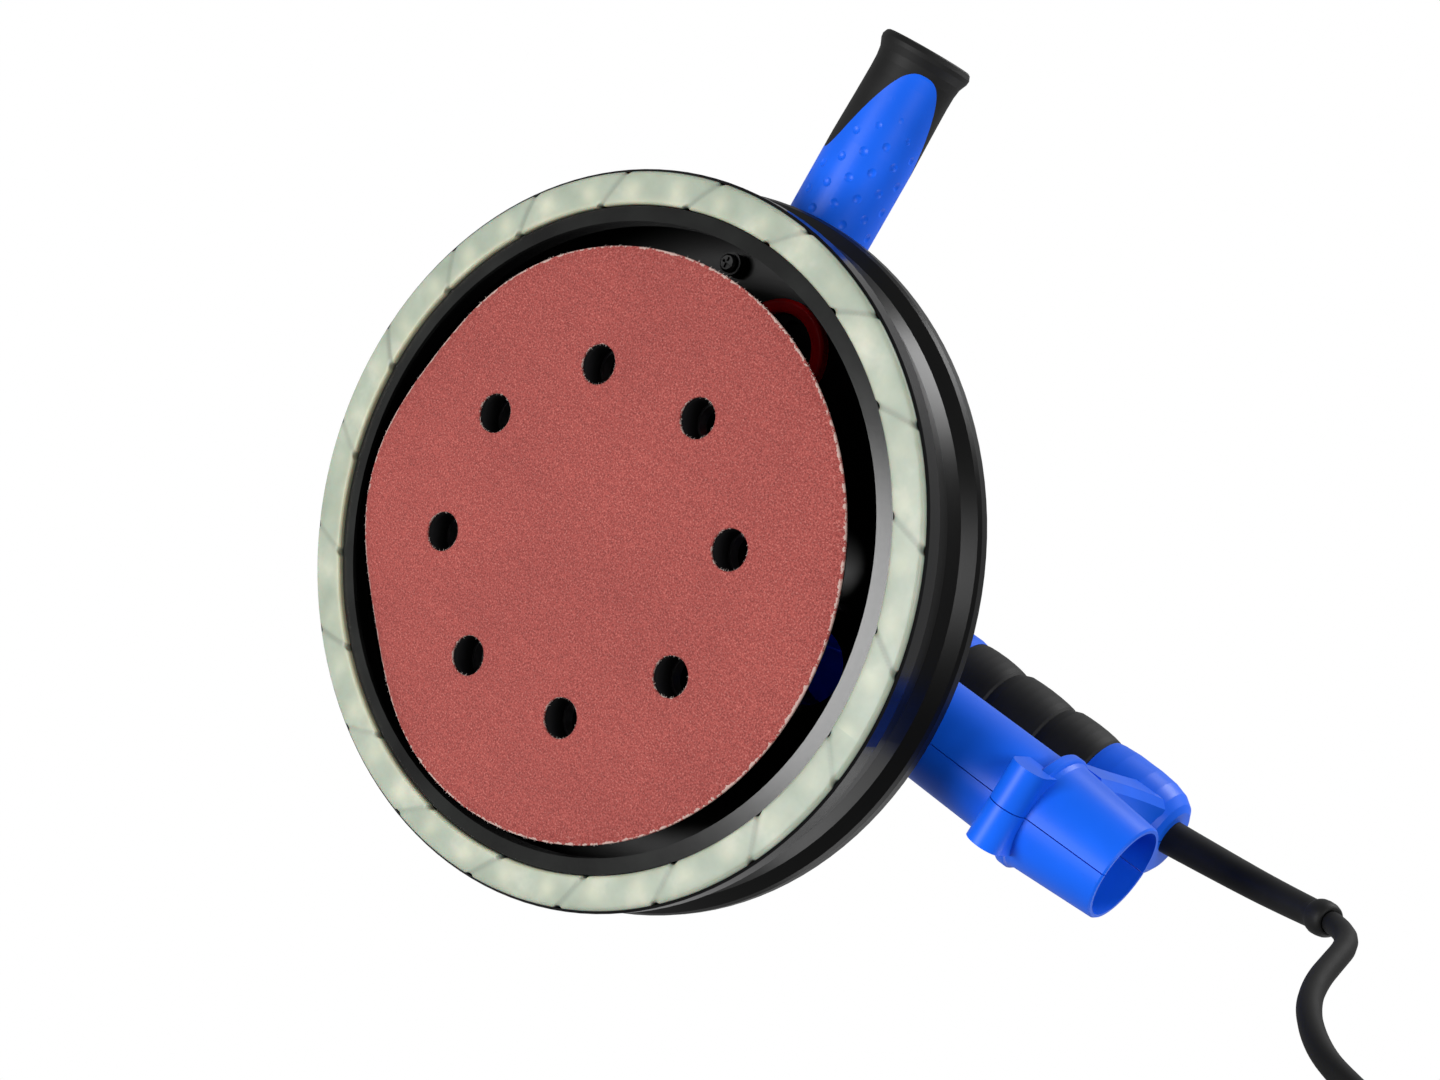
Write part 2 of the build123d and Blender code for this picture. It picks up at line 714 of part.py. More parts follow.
def cord_sleeve():
    """Strain relief with the flange that the end wall of the handle holds."""
    flange = rod_x(10.5, 184.6, 187.8, SLEEVE_ROUTE[0][1], SLEEVE_ROUTE[0][2])
    return sleeve_body() + sleeve_root(SLEEVE_R + 0.3) + flange


def cord_coil():
    half = COIL_SIDE / 2
    inner, outer = COIL_MEAN_R - half, COIL_MEAN_R + half
    ring = tube(outer, inner, COIL_LOW, COIL_LOW + 4 * 2 * CORD_R)
    ring = chamfer(ring.edges().filter_by(GeomType.CIRCLE), 3)
    return Pos(*COIL_POS, 0) * ring


def cord_tie():
    x, y = COIL_POS[0] + COIL_MEAN_R, COIL_POS[1]
    half = COIL_SIDE / 2
    top = COIL_LOW + 8 * CORD_R
    outer = block((x - half - 1.3, y - 6, 0.1), (x + half + 1.3, y + 6, top + 1.1))
    return outer - block((x - half, y - 7, COIL_LOW), (x + half, y + 7, top))


PLUG_TURN_R = COIL_MEAN_R + 2 * CORD_R
PLUG_START = math.sqrt((COIL_MEAN_R + COIL_SIDE / 2) ** 2 - PLUG_TURN_R ** 2)
PLUG_POS = (COIL_POS[0] - PLUG_START - 24.0, COIL_POS[1] + PLUG_TURN_R, 19.2)


def plug_body():
    body = turned([(0, -24), (5.5, -24), (6.2, -8), (12, -2), (18, 4), (19, 8), (19, 24), (18, 26), (0, 26)])
    return Pos(*PLUG_POS) * Rot(0, -90, 0) * body


def plug_pins():
    pin = fillet(rod(2.4, 26, 45).edges().group_by(Axis.Z)[-1], 1.6)
    return Pos(*PLUG_POS) * Rot(0, -90, 0) * group([Pos(0, 9.5, 0) * pin, Pos(0, -9.5, 0) * pin])


BLUE_SHELL = blue_shell()

PARTS = {
    "abrasive_disc": abrasive_disc,
    "foam_pad": foam_pad,
    "backing_plate": backing_plate,
    "pad_spindle": pad_spindle,
    "spindle_nut": spindle_nut,
    "eccentric_hub": eccentric_hub,
    "counterweight": counterweight,
    "pad_bearing": pad_bearing,
    "armature_shaft": armature_shaft,
    "armature_core": armature_core,
    "armature_winding": armature_winding,
    "commutator": commutator,
    "cooling_fan": fan,
    "shroud": shroud,
    "ring_carrier": ring_carrier,
    "skirt_ring": skirt_ring,
    "led_board": led_board,
    "leds": leds,
    "carrier_screws": carrier_screws,
    "vent_ring": vent_ring,
    "vent_shutter": vent_shutter,
    "vent_knob": vent_knob,
    "bearing_housing": gear_housing,
    "flange_screws": flange_screws,
    "lower_bearing": lambda: ball_bearing(7.5 + FIT, 17.5, 58, 69),
    "upper_bearing": lambda: ball_bearing(4 + FIT, 11, 168, 177),
    "motor_housing": motor_housing,
    "stator_core": stator_core,
    "field_coils": field_coils,
    "brush_holders": brush_holders,
    "carbon_brushes": carbon_brushes,
    "brush_springs": brush_springs,
    "brush_caps": brush_caps,
    "bearing_bridge": bearing_bridge,
    "top_cap": top_cap,
    "cap_screws": cap_screws,
    "shell_left": lambda: half_shell(-1),
    "shell_right": lambda: half_shell(1),
    "shell_screws": shell_screws,
    "foot_screws": foot_screws,
    "grip_rubber": grip_rubber,
    "trigger": trigger,
    "trigger_spring": trigger_spring,
    "switch_body": switch_body,
    "lock_button": lock_button,
    "speed_dial": speed_dial,
    "dial_pin": dial_pin,
    "speed_board": speed_board,
    "side_handle_core": side_core,
    "side_handle_cover": side_cover,
    "side_handle_stud": side_stud,
    "cord_sleeve": cord_sleeve,
    "cord_tube": cord_tube,
    "cord_coil": cord_coil,
    "cord_tie": cord_tie,
    "plug_body": plug_body,
    "plug_pins": plug_pins,
}

os.makedirs("parts", exist_ok=True)
for name, make in PARTS.items():
    export_step(make(), f"parts/{name}.step")
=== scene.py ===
import json
import math
import random

import bmesh
import bpy
from mathutils import Matrix, Vector


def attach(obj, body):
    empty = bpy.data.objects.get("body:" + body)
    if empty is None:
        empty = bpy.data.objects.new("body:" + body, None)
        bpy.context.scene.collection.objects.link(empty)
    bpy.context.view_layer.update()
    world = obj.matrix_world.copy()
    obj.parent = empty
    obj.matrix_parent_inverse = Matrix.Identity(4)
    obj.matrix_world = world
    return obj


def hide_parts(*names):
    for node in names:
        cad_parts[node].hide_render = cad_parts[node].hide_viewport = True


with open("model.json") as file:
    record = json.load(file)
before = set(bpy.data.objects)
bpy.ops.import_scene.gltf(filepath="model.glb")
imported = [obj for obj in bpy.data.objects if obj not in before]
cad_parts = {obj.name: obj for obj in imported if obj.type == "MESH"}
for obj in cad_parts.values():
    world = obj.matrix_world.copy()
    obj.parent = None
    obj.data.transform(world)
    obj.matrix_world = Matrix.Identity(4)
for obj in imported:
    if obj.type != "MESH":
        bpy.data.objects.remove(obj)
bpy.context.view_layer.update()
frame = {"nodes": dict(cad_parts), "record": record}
NODES = frame["nodes"]
SCENE = bpy.context.scene

# --- camera -----------------------------------------------------------------------------------
CAMERA_AT = Vector((0.4349, -0.1796, -0.6276))
CAMERA_TARGET = Vector((0.0283, -0.0195, 0.0425))
CAMERA_UP = Vector((-0.5163, -0.8492, -0.1103))
LENS = 52.85
WORLD_DIM = 0.14
WORLD_BRIGHT = 0.4
BRIGHT_SIDE = (-0.508, 0.2, 0.838)


def make_camera():
    """Looks up at the abrasive face from the grip's side."""
    data = bpy.data.cameras.new("camera")
    data.lens = LENS
    data.sensor_width = 36
    data.clip_start = 0.01
    data.clip_end = 50
    camera = bpy.data.objects.new("camera", data)
    SCENE.collection.objects.link(camera)
    forward = (CAMERA_TARGET - CAMERA_AT).normalized()
    right = forward.cross(CAMERA_UP).normalized()
    up = right.cross(forward)
    turn = Matrix((right, up, -forward)).transposed()
    camera.matrix_world = Matrix.Translation(CAMERA_AT) @ turn.to_4x4()
    SCENE.camera = camera


# --- materials --------------------------------------------------------------------------------
class Nodes:
    """A small builder for one node material."""

    def __init__(self, name):
        self.material = bpy.data.materials.new(name)
        self.material.use_nodes = True
        self.tree = self.material.node_tree
        self.shader = self.tree.nodes["Principled BSDF"]
        self.where = self.add("ShaderNodeTexCoord").outputs["Object"]

    def add(self, kind, **values):
        node = self.tree.nodes.new(kind)
        for key, value in values.items():
            setattr(node, key, value)
        return node

    def link(self, output, target):
        self.tree.links.new(output, target)

    def noise(self, scale, detail=4.0, rough=0.5, stretch=None):
        """Noise at `scale` features per metre."""
        node = self.add("ShaderNodeTexNoise")
        node.inputs["Scale"].default_value = scale
        node.inputs["Detail"].default_value = detail
        node.inputs["Roughness"].default_value = rough
        if stretch:
            mapping = self.add("ShaderNodeMapping")
            mapping.inputs["Scale"].default_value = stretch
            self.link(self.where, mapping.inputs["Vector"])
            self.link(mapping.outputs["Vector"], node.inputs["Vector"])
        else:
            self.link(self.where, node.inputs["Vector"])
        return node.outputs["Fac"]

    def cells(self, scale, feature="F1"):
        node = self.add("ShaderNodeTexVoronoi", feature=feature)
        node.inputs["Scale"].default_value = scale
        self.link(self.where, node.inputs["Vector"])
        return node.outputs["Distance"]

    def math(self, operation, a, b=None):
        node = self.add("ShaderNodeMath", operation=operation)
        for socket, value in zip(node.inputs, (a, b)):
            if value is None:
                continue
            if isinstance(value, (int, float)):
                socket.default_value = value
            else:
                self.link(value, socket)
        return node.outputs[0]

    def ramp(self, fac, *stops):
        """A colour ramp with (position, colour) stops."""
        node = self.add("ShaderNodeValToRGB")
        elements = node.color_ramp.elements
        while len(elements) < len(stops):
            elements.new(0.5)
        for element, (position, colour) in zip(elements, stops):
            element.position = position
            element.color = (*colour, 1)
        self.link(fac, node.inputs["Fac"])
        return node.outputs["Color"]

    def spread(self, fac, low, high):
        """Maps 0..1 to low..high."""
        node = self.add("ShaderNodeMapRange")
        node.inputs["To Min"].default_value = low
        node.inputs["To Max"].default_value = high
        self.link(fac, node.inputs["Value"])
        return node.outputs["Result"]

    def mix(self, fac, a, b):
        node = self.add("ShaderNodeMix", data_type="RGBA")
        for socket, value in ((node.inputs[0], fac), (node.inputs[6], a), (node.inputs[7], b)):
            if isinstance(value, tuple):
                socket.default_value = (*value, 1)
            elif isinstance(value, (int, float)):
                socket.default_value = value
            else:
                self.link(value, socket)
        return node.outputs[2]

    def bump(self, height, strength, distance, after=None):
        node = self.add("ShaderNodeBump")
        node.inputs["Strength"].default_value = strength
        node.inputs["Distance"].default_value = distance
        self.link(height, node.inputs["Height"])
        if after:
            self.link(after, node.inputs["Normal"])
        return node.outputs["Normal"]

    def finish(self, colour, roughness, normal, **settings):
        self.link(colour, self.shader.inputs["Base Color"])
        self.link(roughness, self.shader.inputs["Roughness"])
        self.link(normal, self.shader.inputs["Normal"])
        for key, value in settings.items():
            self.shader.inputs[key.replace("_", " ")].default_value = value
        return self.material


def tint(colour, factor):
    return tuple(min(1.0, c * factor) for c in colour)


def moulded(name, colour, rough=(0.32, 0.46), grain=1900, depth=0.05, worn=1.12):
    """Moulded plastic: fine spark-eroded grain, faint sink and flow marks."""
    n = Nodes(name)
    cloud = n.noise(28, 3)
    fine = n.noise(grain, 2, 0.6)
    colours = n.ramp(cloud, (0.3, tint(colour, 0.93)), (0.7, tint(colour, worn)))
    roughness = n.spread(n.math("ADD", n.math("MULTIPLY", cloud, 0.5), n.math("MULTIPLY", fine, 0.5)), *rough)
    normal = n.bump(fine, depth, 0.0002, n.bump(cloud, 0.05, 0.0006))
    return n.finish(colours, roughness, normal, Specular_IOR_Level=0.22)


def soft_rubber(name, colour, rough=(0.55, 0.75), dust=0.02):
    """Soft rubber: matt skin with fine pores and a trace of dust."""
    n = Nodes(name)
    cloud = n.noise(60, 4)
    pores = n.noise(2600, 2, 0.7)
    dusty = tuple(c + dust for c in colour)
    colours = n.ramp(cloud, (0.35, colour), (0.75, dusty))
    normal = n.bump(pores, 0.12, 0.00015, n.bump(cloud, 0.05, 0.0004))
    return n.finish(colours, n.spread(cloud, *rough), normal, Specular_IOR_Level=0.22)


def metal(name, colour, rough=(0.22, 0.38), stretch=(1, 1, 40)):
    """Machined or plated metal with fine turning marks."""
    n = Nodes(name)
    marks = n.noise(260, 3, 0.5, stretch)
    cloud = n.noise(90, 3)
    colours = n.ramp(cloud, (0.3, tint(colour, 0.85)), (0.7, colour))
    return n.finish(colours, n.spread(marks, *rough), n.bump(marks, 0.08, 0.0001), Metallic=1.0)


def casting(name, colour):
    """Die-cast aluminium: satin skin with a fine orange peel."""
    n = Nodes(name)
    peel = n.noise(900, 3, 0.6)
    cloud = n.noise(45, 3)
    colours = n.ramp(cloud, (0.3, tint(colour, 0.88)), (0.75, colour))
    return n.finish(colours, n.spread(peel, 0.36, 0.52), n.bump(peel, 0.15, 0.0002), Metallic=1.0)


def abrasive_sheet():
    """Brick-red grit: bonded grains, faint streaks along the belt, rubbed edges."""
    n = Nodes("abrasive")
    grains = n.cells(1250)
    speck = n.noise(1500, 3, 0.7)
    cloud = n.noise(16, 4)
    streaks = n.noise(14, 3, 0.5, (1, 26, 1))
    base = n.ramp(grains, (0.05, (0.10, 0.018, 0.018)), (0.4, (0.33, 0.056, 0.047)),
                  (0.8, (0.48, 0.098, 0.08)))
    light = n.ramp(speck, (0.42, (0.20, 0.032, 0.028)), (0.52, (0.33, 0.058, 0.050)),
                   (0.66, (0.66, 0.27, 0.23)))
    worn = n.ramp(n.math("ADD", n.math("MULTIPLY", cloud, 0.6), n.math("MULTIPLY", streaks, 0.4)),
                  (0.35, (0.86, 0.84, 0.86)), (0.65, (1.0, 1.0, 1.0)))
    mixed = n.mix(0.5, base, light)
    multiply = n.add("ShaderNodeMix", data_type="RGBA", blend_type="MULTIPLY")
    multiply.inputs[0].default_value = 1.0
    n.link(mixed, multiply.inputs[6])
    n.link(worn, multiply.inputs[7])
    edge = n.add("ShaderNodeAttribute", attribute_name="edge").outputs["Fac"]
    frayed = n.math("GREATER_THAN", n.math("ADD", n.math("MULTIPLY", edge, 0.5), n.noise(420, 3, 0.7)), 0.97)
    colour = n.mix(frayed, multiply.outputs[2], (0.52, 0.36, 0.32))
    height = n.math("ADD", n.math("MULTIPLY", grains, -0.7), n.math("MULTIPLY", speck, 0.6))
    normal = n.bump(height, 0.55, 0.00035)
    return n.finish(colour, n.spread(speck, 0.62, 0.9), normal, Specular_IOR_Level=0.3)


def milky_plastic():
    """Milky light guide: stained slanted joints, a painted warm glow over the lamps, an inner edge yellower
    on one half.
    """
    n = Nodes("translucent")
    cloud = n.noise(55, 4)
    fine = n.noise(700, 3, 0.6)
    joint = n.add("ShaderNodeAttribute", attribute_name="joint").outputs["Fac"]
    lamp = n.add("ShaderNodeAttribute", attribute_name="lamp").outputs["Fac"]
    inner = n.add("ShaderNodeAttribute", attribute_name="inner").outputs["Fac"]
    body = n.ramp(cloud, (0.3, (0.31, 0.365, 0.29)), (0.55, (0.40, 0.45, 0.365)), (0.75, (0.56, 0.58, 0.48)))
    # painted glow: the lamps' warm light painted into the colour over each lamp
    painted_lamp_glow = n.mix(n.math("MULTIPLY", lamp, 0.3), body, (0.86, 0.83, 0.62))
    yellow = n.mix(n.math("MULTIPLY", inner, 0.5), painted_lamp_glow, (0.66, 0.60, 0.34))
    stain = n.mix(n.math("MULTIPLY", joint, n.spread(cloud, 0.35, 1.0)), yellow, (0.17, 0.185, 0.155))
    normal = n.bump(fine, 0.04, 0.0002, n.bump(cloud, 0.1, 0.0008))
    return n.finish(stain, n.spread(fine, 0.28, 0.42), normal,
                    Subsurface_Weight=0.35, Subsurface_Scale=0.004, Specular_IOR_Level=0.25)


MATERIALS = {
    "blue_plastic": moulded("blue_plastic", (0.006, 0.125, 0.86), (0.34, 0.46)),
    "black_plastic": moulded("black_plastic", (0.0035, 0.0035, 0.0035), (0.26, 0.38), 1500, 0.03),
    "red_plastic": moulded("red_plastic", (0.92, 0.004, 0.012), (0.14, 0.24), 900, 0.02),
    "black_rubber": soft_rubber("black_rubber", (0.008, 0.008, 0.008), (0.5, 0.66), 0.006),
    "cord_rubber": soft_rubber("cord_rubber", (0.004, 0.004, 0.004), (0.62, 0.78), 0.002),
    "foam": soft_rubber("foam", (0.006, 0.006, 0.007), (0.8, 0.95), 0.006),
    "abrasive": abrasive_sheet(),
    "translucent": milky_plastic(),
    "circuit": moulded("circuit", (0.8, 0.8, 0.76)),
    "led": moulded("led", (0.95, 0.8, 0.3)),
    "steel": metal("steel", (0.6, 0.6, 0.62)),
    "zinc": metal("zinc", (0.62, 0.62, 0.64), (0.3, 0.45)),
    "black_screw": metal("black_screw", (0.035, 0.035, 0.035), (0.4, 0.55)),
    "pad_metal": casting("pad_metal", (0.5, 0.5, 0.52)),
    "castings": casting("castings", (0.22, 0.22, 0.235)),
    "lamination": metal("lamination", (0.2, 0.2, 0.2), (0.4, 0.55)),
    "copper": metal("copper", (0.72, 0.3, 0.12)),
    "brass": metal("brass", (0.75, 0.55, 0.22)),
    "carbon": soft_rubber("carbon", (0.03, 0.03, 0.032)),
    "fibre": soft_rubber("fibre", (0.62, 0.52, 0.48), (0.7, 0.9), 0.1),
}


def satin_lip():
    """Machined-looking grey skin of the ring carrier's flat lip, black elsewhere."""
    n = Nodes("carrier_skin")
    place = n.add("ShaderNodeSeparateXYZ")
    n.link(n.where, place.inputs[0])
    x, y, z = place.outputs
    radius = n.math("SQRT", n.math("ADD", n.math("MULTIPLY", x, x), n.math("MULTIPLY", y, y)))
    on_lip = n.math("MULTIPLY", n.math("LESS_THAN", radius, 0.1262), n.math("LESS_THAN", z, 0.0105))
    rings = n.noise(900, 3, 0.6, (1, 1, 0.2))
    cloud = n.noise(40, 3)
    grey = n.ramp(cloud, (0.3, (0.010, 0.010, 0.010)), (0.7, (0.020, 0.021, 0.020)))
    colour = n.mix(on_lip, (0.0045, 0.0045, 0.0048), grey)
    return n.finish(colour, n.spread(rings, 0.16, 0.24), n.bump(rings, 0.04, 0.0002),
                    Specular_IOR_Level=0.34)


def dress_frame():
    """Gives every CAD node the material of its slot."""
    for entry in frame["record"]["subparts"]:
        mesh = NODES[entry["node"]].data
        mesh.materials.clear()
        mesh.materials.append(MATERIALS[entry["material_slot"]])
    NODES["ring_carrier"].data.materials[0] = satin_lip()


# --- cord -------------------------------------------------------------------------------------
CORD_R = 0.0041
ROUTE = [
    (0.2710, -0.0180, 0.1430), (0.2795, -0.0205, 0.1305), (0.2855, -0.0200, 0.1150),
    (0.2885, -0.0170, 0.0960), (0.2915, -0.0130, 0.0770), (0.2970, -0.0095, 0.0580),
    (0.3060, -0.0075, 0.0405), (0.3175, -0.0070, 0.0245), (0.3320, -0.0085, 0.0120),
    (0.3495, -0.0085, 0.0056), (0.3690, -0.0060, 0.0053),
]
COIL_CENTRE = (0.3980, 0.0512)
COIL_MEAN_R = 0.0490
COIL_LOW = 0.0012
STEPS = 16


# Each turn's column (outwards) and layer (upwards), in the order they are wound.
TURNS = [(1, 0), (0, 0), (-1, 0), (-1, 1), (0, 1), (1, 1), (0, 2), (-1, 2), (-1, 3), (0, 3), (1, 3), (1, 2)]
PLUG_TAIL = [(0.3860, 0.1084, 0.0200), (0.3745, 0.1084, 0.0192), (0.3600, 0.1084, 0.0192)]


def coil_points():
    """Points of the put-away coil; its last half turn is on the outside and leaves for the plug."""
    pitch = 2 * CORD_R
    points = []
    for turn, (column, layer) in enumerate(TURNS):
        next_column, next_layer = TURNS[min(turn + 1, len(TURNS) - 1)]
        steps = STEPS if turn < len(TURNS) - 1 else STEPS // 2
        for step in range(steps):
            part = step / STEPS
            ease = max(0.0, (part - 0.6) / 0.4)
            radius = COIL_MEAN_R + pitch * (column + (next_column - column) * ease)
            angle = math.radians(-90) + math.tau * part
            x = COIL_CENTRE[0] + radius * math.cos(angle)
            y = COIL_CENTRE[1] + radius * math.sin(angle)
            points.append((x, y, COIL_LOW + CORD_R + pitch * (layer + (next_layer - layer) * ease)))
    return points + PLUG_TAIL


def make_cord():
    points = ROUTE + coil_points()
    curve = bpy.data.curves.new("mains_cord", "CURVE")
    curve.dimensions = "3D"
    curve.bevel_depth = CORD_R
    curve.bevel_resolution = 5
    curve.resolution_u = 8
    curve.use_fill_caps = True
    spline = curve.splines.new("NURBS")
    spline.points.add(len(points) - 1)
    for point, place in zip(spline.points, points):
        point.co = (*place, 1)
    spline.order_u = 3
    spline.use_endpoint_u = True
    cord = bpy.data.objects.new("mains_cord", curve)
    SCENE.collection.objects.link(cord)
    curve.materials.append(MATERIALS["cord_rubber"])
    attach(cord, "housing")
    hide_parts("cord_tube", "cord_coil")


# --- pieces -----------------------------------------------------------------------------------
ORBIT = (0.0028 * math.cos(math.radians(64)), 0.0028 * math.sin(math.radians(64)))
HOLE_COUNT = 8
HOLE_CIRCLE_R = 0.066
HOLE_PHASE = 16.7


def new_piece(name, mesh, material, body, slot, *replaced):
    piece = bpy.data.objects.new(name, mesh)
    SCENE.collection.objects.link(piece)
    mesh.materials.append(MATERIALS[material])
    mesh.polygons.foreach_set("use_smooth", [True] * len(mesh.polygons))
    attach(piece, body)
    if replaced:
        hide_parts(*replaced)
    return piece


def mesh_from(name, verts, faces):
    mesh = bpy.data.meshes.new(name)
    mesh.from_pydata(verts, [], faces)
    mesh.validate()
    mesh.update()
    return mesh


def ripple(angle, seed, waves=(3, 5, 9, 17, 31)):
    """A smooth closed wave about zero, the same each run."""
    return sum(math.sin(w * angle + seed * (w + 1.7)) / w ** 0.8 for w in waves) / 2


def dent(angle, centre, width):
    """A bell at `centre` degrees."""
    gap = (math.degrees(angle) - centre + 180) % 360 - 180
    return math.exp(-(gap / width) ** 2)


RIM_CURL = 0.0016


def rim_curl(angle):
    """How far the sheet's rim bends back, as a share of RIM_CURL; most in the flats."""
    return (0.35 + 0.9 * dent(angle, 131, 26) + 0.6 * dent(angle, 192, 24)
            + 0.25 * (1 + ripple(angle, 4.3, (2, 5, 11))))


def sheet_radius(angle):
    """The worn outline of the sheet: off round, with two bent-back flats."""
    flats = 0.0068 * dent(angle, 131, 23) + 0.0036 * dent(angle, 192, 20)
    return 0.1114 + 0.0009 * math.cos(angle) - flats + 0.00012 * ripple(angle, 2.1, (13, 29, 47, 83))


def hole_centres():
    for i in range(HOLE_COUNT):
        angle = math.radians(HOLE_PHASE + 360 / HOLE_COUNT * i)
        yield ORBIT[0] + HOLE_CIRCLE_R * math.cos(angle), ORBIT[1] + HOLE_CIRCLE_R * math.sin(angle)


def loop_verts(bm, centre, radius_of, z_of, count):
    verts = []
    for i in range(count):
        angle = math.tau * i / count
        radius = radius_of(angle)
        verts.append(bm.verts.new((centre[0] + radius * math.cos(angle), centre[1] + radius * math.sin(angle),
                                   z_of(angle))))
    return verts


def bridge_loops(bm, a, b):
    for i in range(len(a)):
        j = (i + 1) % len(a)
        bm.faces.new((a[i], a[j], b[j], b[i]))


# Each loop of the sheet's rim: (inset from the edge, share of the curl).
SHEET_RIM = ((0.0065, 0.0), (0.0045, 0.06), (0.0028, 0.25), (0.0014, 0.6), (0.0004, 0.9), (0.0, 1.0))
SHEET_THICK = 0.0010


def sheet_face(bm, z):
    """One face of the sheet: flat middle, curled rim, slightly raised hole edges."""
    edge = bm.verts.layers.float["edge"]
    rim = []
    for inset, lift in SHEET_RIM:
        rim.append(loop_verts(bm, ORBIT, lambda a, inset=inset: sheet_radius(a) - inset,
                              lambda a, lift=lift: z + lift * RIM_CURL * rim_curl(a), 480))
    for outer, inner in zip(rim[1:], rim):
        bridge_loops(bm, inner, outer)
    for vert in rim[-1] + rim[-2]:
        vert[edge] = 1.0
    for vert in rim[-3]:
        vert[edge] = 0.45
    holes = []
    for k, centre in enumerate(hole_centres()):
        rings = []
        for radius, lift in ((0.0094, 0.0), (0.0084, 0.12), (0.0077, 0.3)):
            rings.append(loop_verts(
                bm, centre, lambda a, radius=radius, k=k: radius + 0.00008 * ripple(a, k + 1.3, (5, 9, 17)),
                lambda a, lift=lift: z + lift * 0.0005, 64))
        for outer, inner in zip(rings, rings[1:]):
            bridge_loops(bm, inner, outer)
        for vert in rings[-1]:
            vert[edge] = 0.9
        holes.append(rings)
    edges = ring_edges_between(bm, rim[0]) + [e for rings in holes for e in ring_edges_between(bm, rings[0])]
    bmesh.ops.triangle_fill(bm, use_beauty=True, use_dissolve=False, edges=edges)
    return rim[-1], [rings[-1] for rings in holes]


def ring_edges_between(bm, verts):
    """The edges that already join a loop's neighbours."""
    found = []
    for i, vert in enumerate(verts):
        found.append(bm.edges.get((vert, verts[(i + 1) % len(verts)])))
    return found


def make_sheet():
    bm = bmesh.new()
    bm.verts.layers.float.new("edge")
    low_rim, low_holes = sheet_face(bm, 0.0)
    high_rim, high_holes = sheet_face(bm, SHEET_THICK)
    bridge_loops(bm, low_rim, high_rim)
    for low, high in zip(low_holes, high_holes):
        bridge_loops(bm, low, high)
    bmesh.ops.recalc_face_normals(bm, faces=bm.faces)
    mesh = bpy.data.meshes.new("abrasive_sheet")
    bm.to_mesh(mesh)
    bm.free()
    new_piece("abrasive_sheet", mesh, "abrasive", "pad", "abrasive", "abrasive_disc")


RIM_FIBRES = 620
HOLE_FIBRES = 60


def make_fibres():
    """Torn backing fibres along the rim and the holes."""
    rng = random.Random(7)
    verts, faces = [], []

    def hair(x, y, z, direction, length, width):
        side = (-math.sin(direction), math.cos(direction))
        bend = rng.uniform(-0.9, 0.9)
        ends = []
        for t in (0.0, 0.5, 1.0):
            turn = direction + bend * t
            px = x + length * t * math.cos(turn)
            py = y + length * t * math.sin(turn)
            half = width * (1 - 0.7 * t) / 2
            ends.append(((px - side[0] * half, py - side[1] * half, z),
                         (px + side[0] * half, py + side[1] * half, z),
                         (px, py, z + width * 0.8)))
        base = len(verts)
        verts.extend(p for section in ends for p in section)
        for step in (0, 3):
            for k in range(3):
                a, b = base + step + k, base + step + (k + 1) % 3
                faces.append((a, b, b + 3, a + 3))
        faces.append((base + 2, base + 1, base))
        faces.append((base + 6, base + 7, base + 8))

    for _ in range(RIM_FIBRES):
        angle = rng.uniform(0, math.tau)
        radius = sheet_radius(angle) - 0.0003
        lift = RIM_CURL * rim_curl(angle)
        out = angle + rng.uniform(-1.2, 1.2)
        reach = min(rng.uniform(0.0003, 0.0012), 0.1124 - radius)
        hair(ORBIT[0] + radius * math.cos(angle), ORBIT[1] + radius * math.sin(angle),
             max(0.0001, lift * 0.9 + rng.uniform(0.0, 0.0006)), out, reach, rng.uniform(0.00012, 0.00026))
    for centre in hole_centres():
        for _ in range(HOLE_FIBRES):
            angle = rng.uniform(0, math.tau)
            hair(centre[0] + 0.0078 * math.cos(angle), centre[1] + 0.0078 * math.sin(angle),
                 rng.uniform(0.00015, 0.0008), angle + math.pi + rng.uniform(-1.2, 1.2),
                 rng.uniform(0.0003, 0.0011), rng.uniform(0.0001, 0.0002))
    new_piece("sheet_fibres", mesh_from("sheet_fibres", verts, faces), "fibre", "pad", "abrasive")


# The foam's rim as (inset from the sheet's edge, height) and its holes' walls as (radius, height).
FOAM_RIM = ((0.004, 0.0012), (0.0026, 0.0016), (0.0018, 0.004), (0.0016, 0.0075), (0.0022, 0.0104),
            (0.0052, 0.0128), (0.008, 0.013))
FOAM_HOLE = ((0.0085, 0.0012), (0.0077, 0.0016), (0.00752, 0.004), (0.0076, 0.0075), (0.00755, 0.011),
             (0.0085, 0.013))


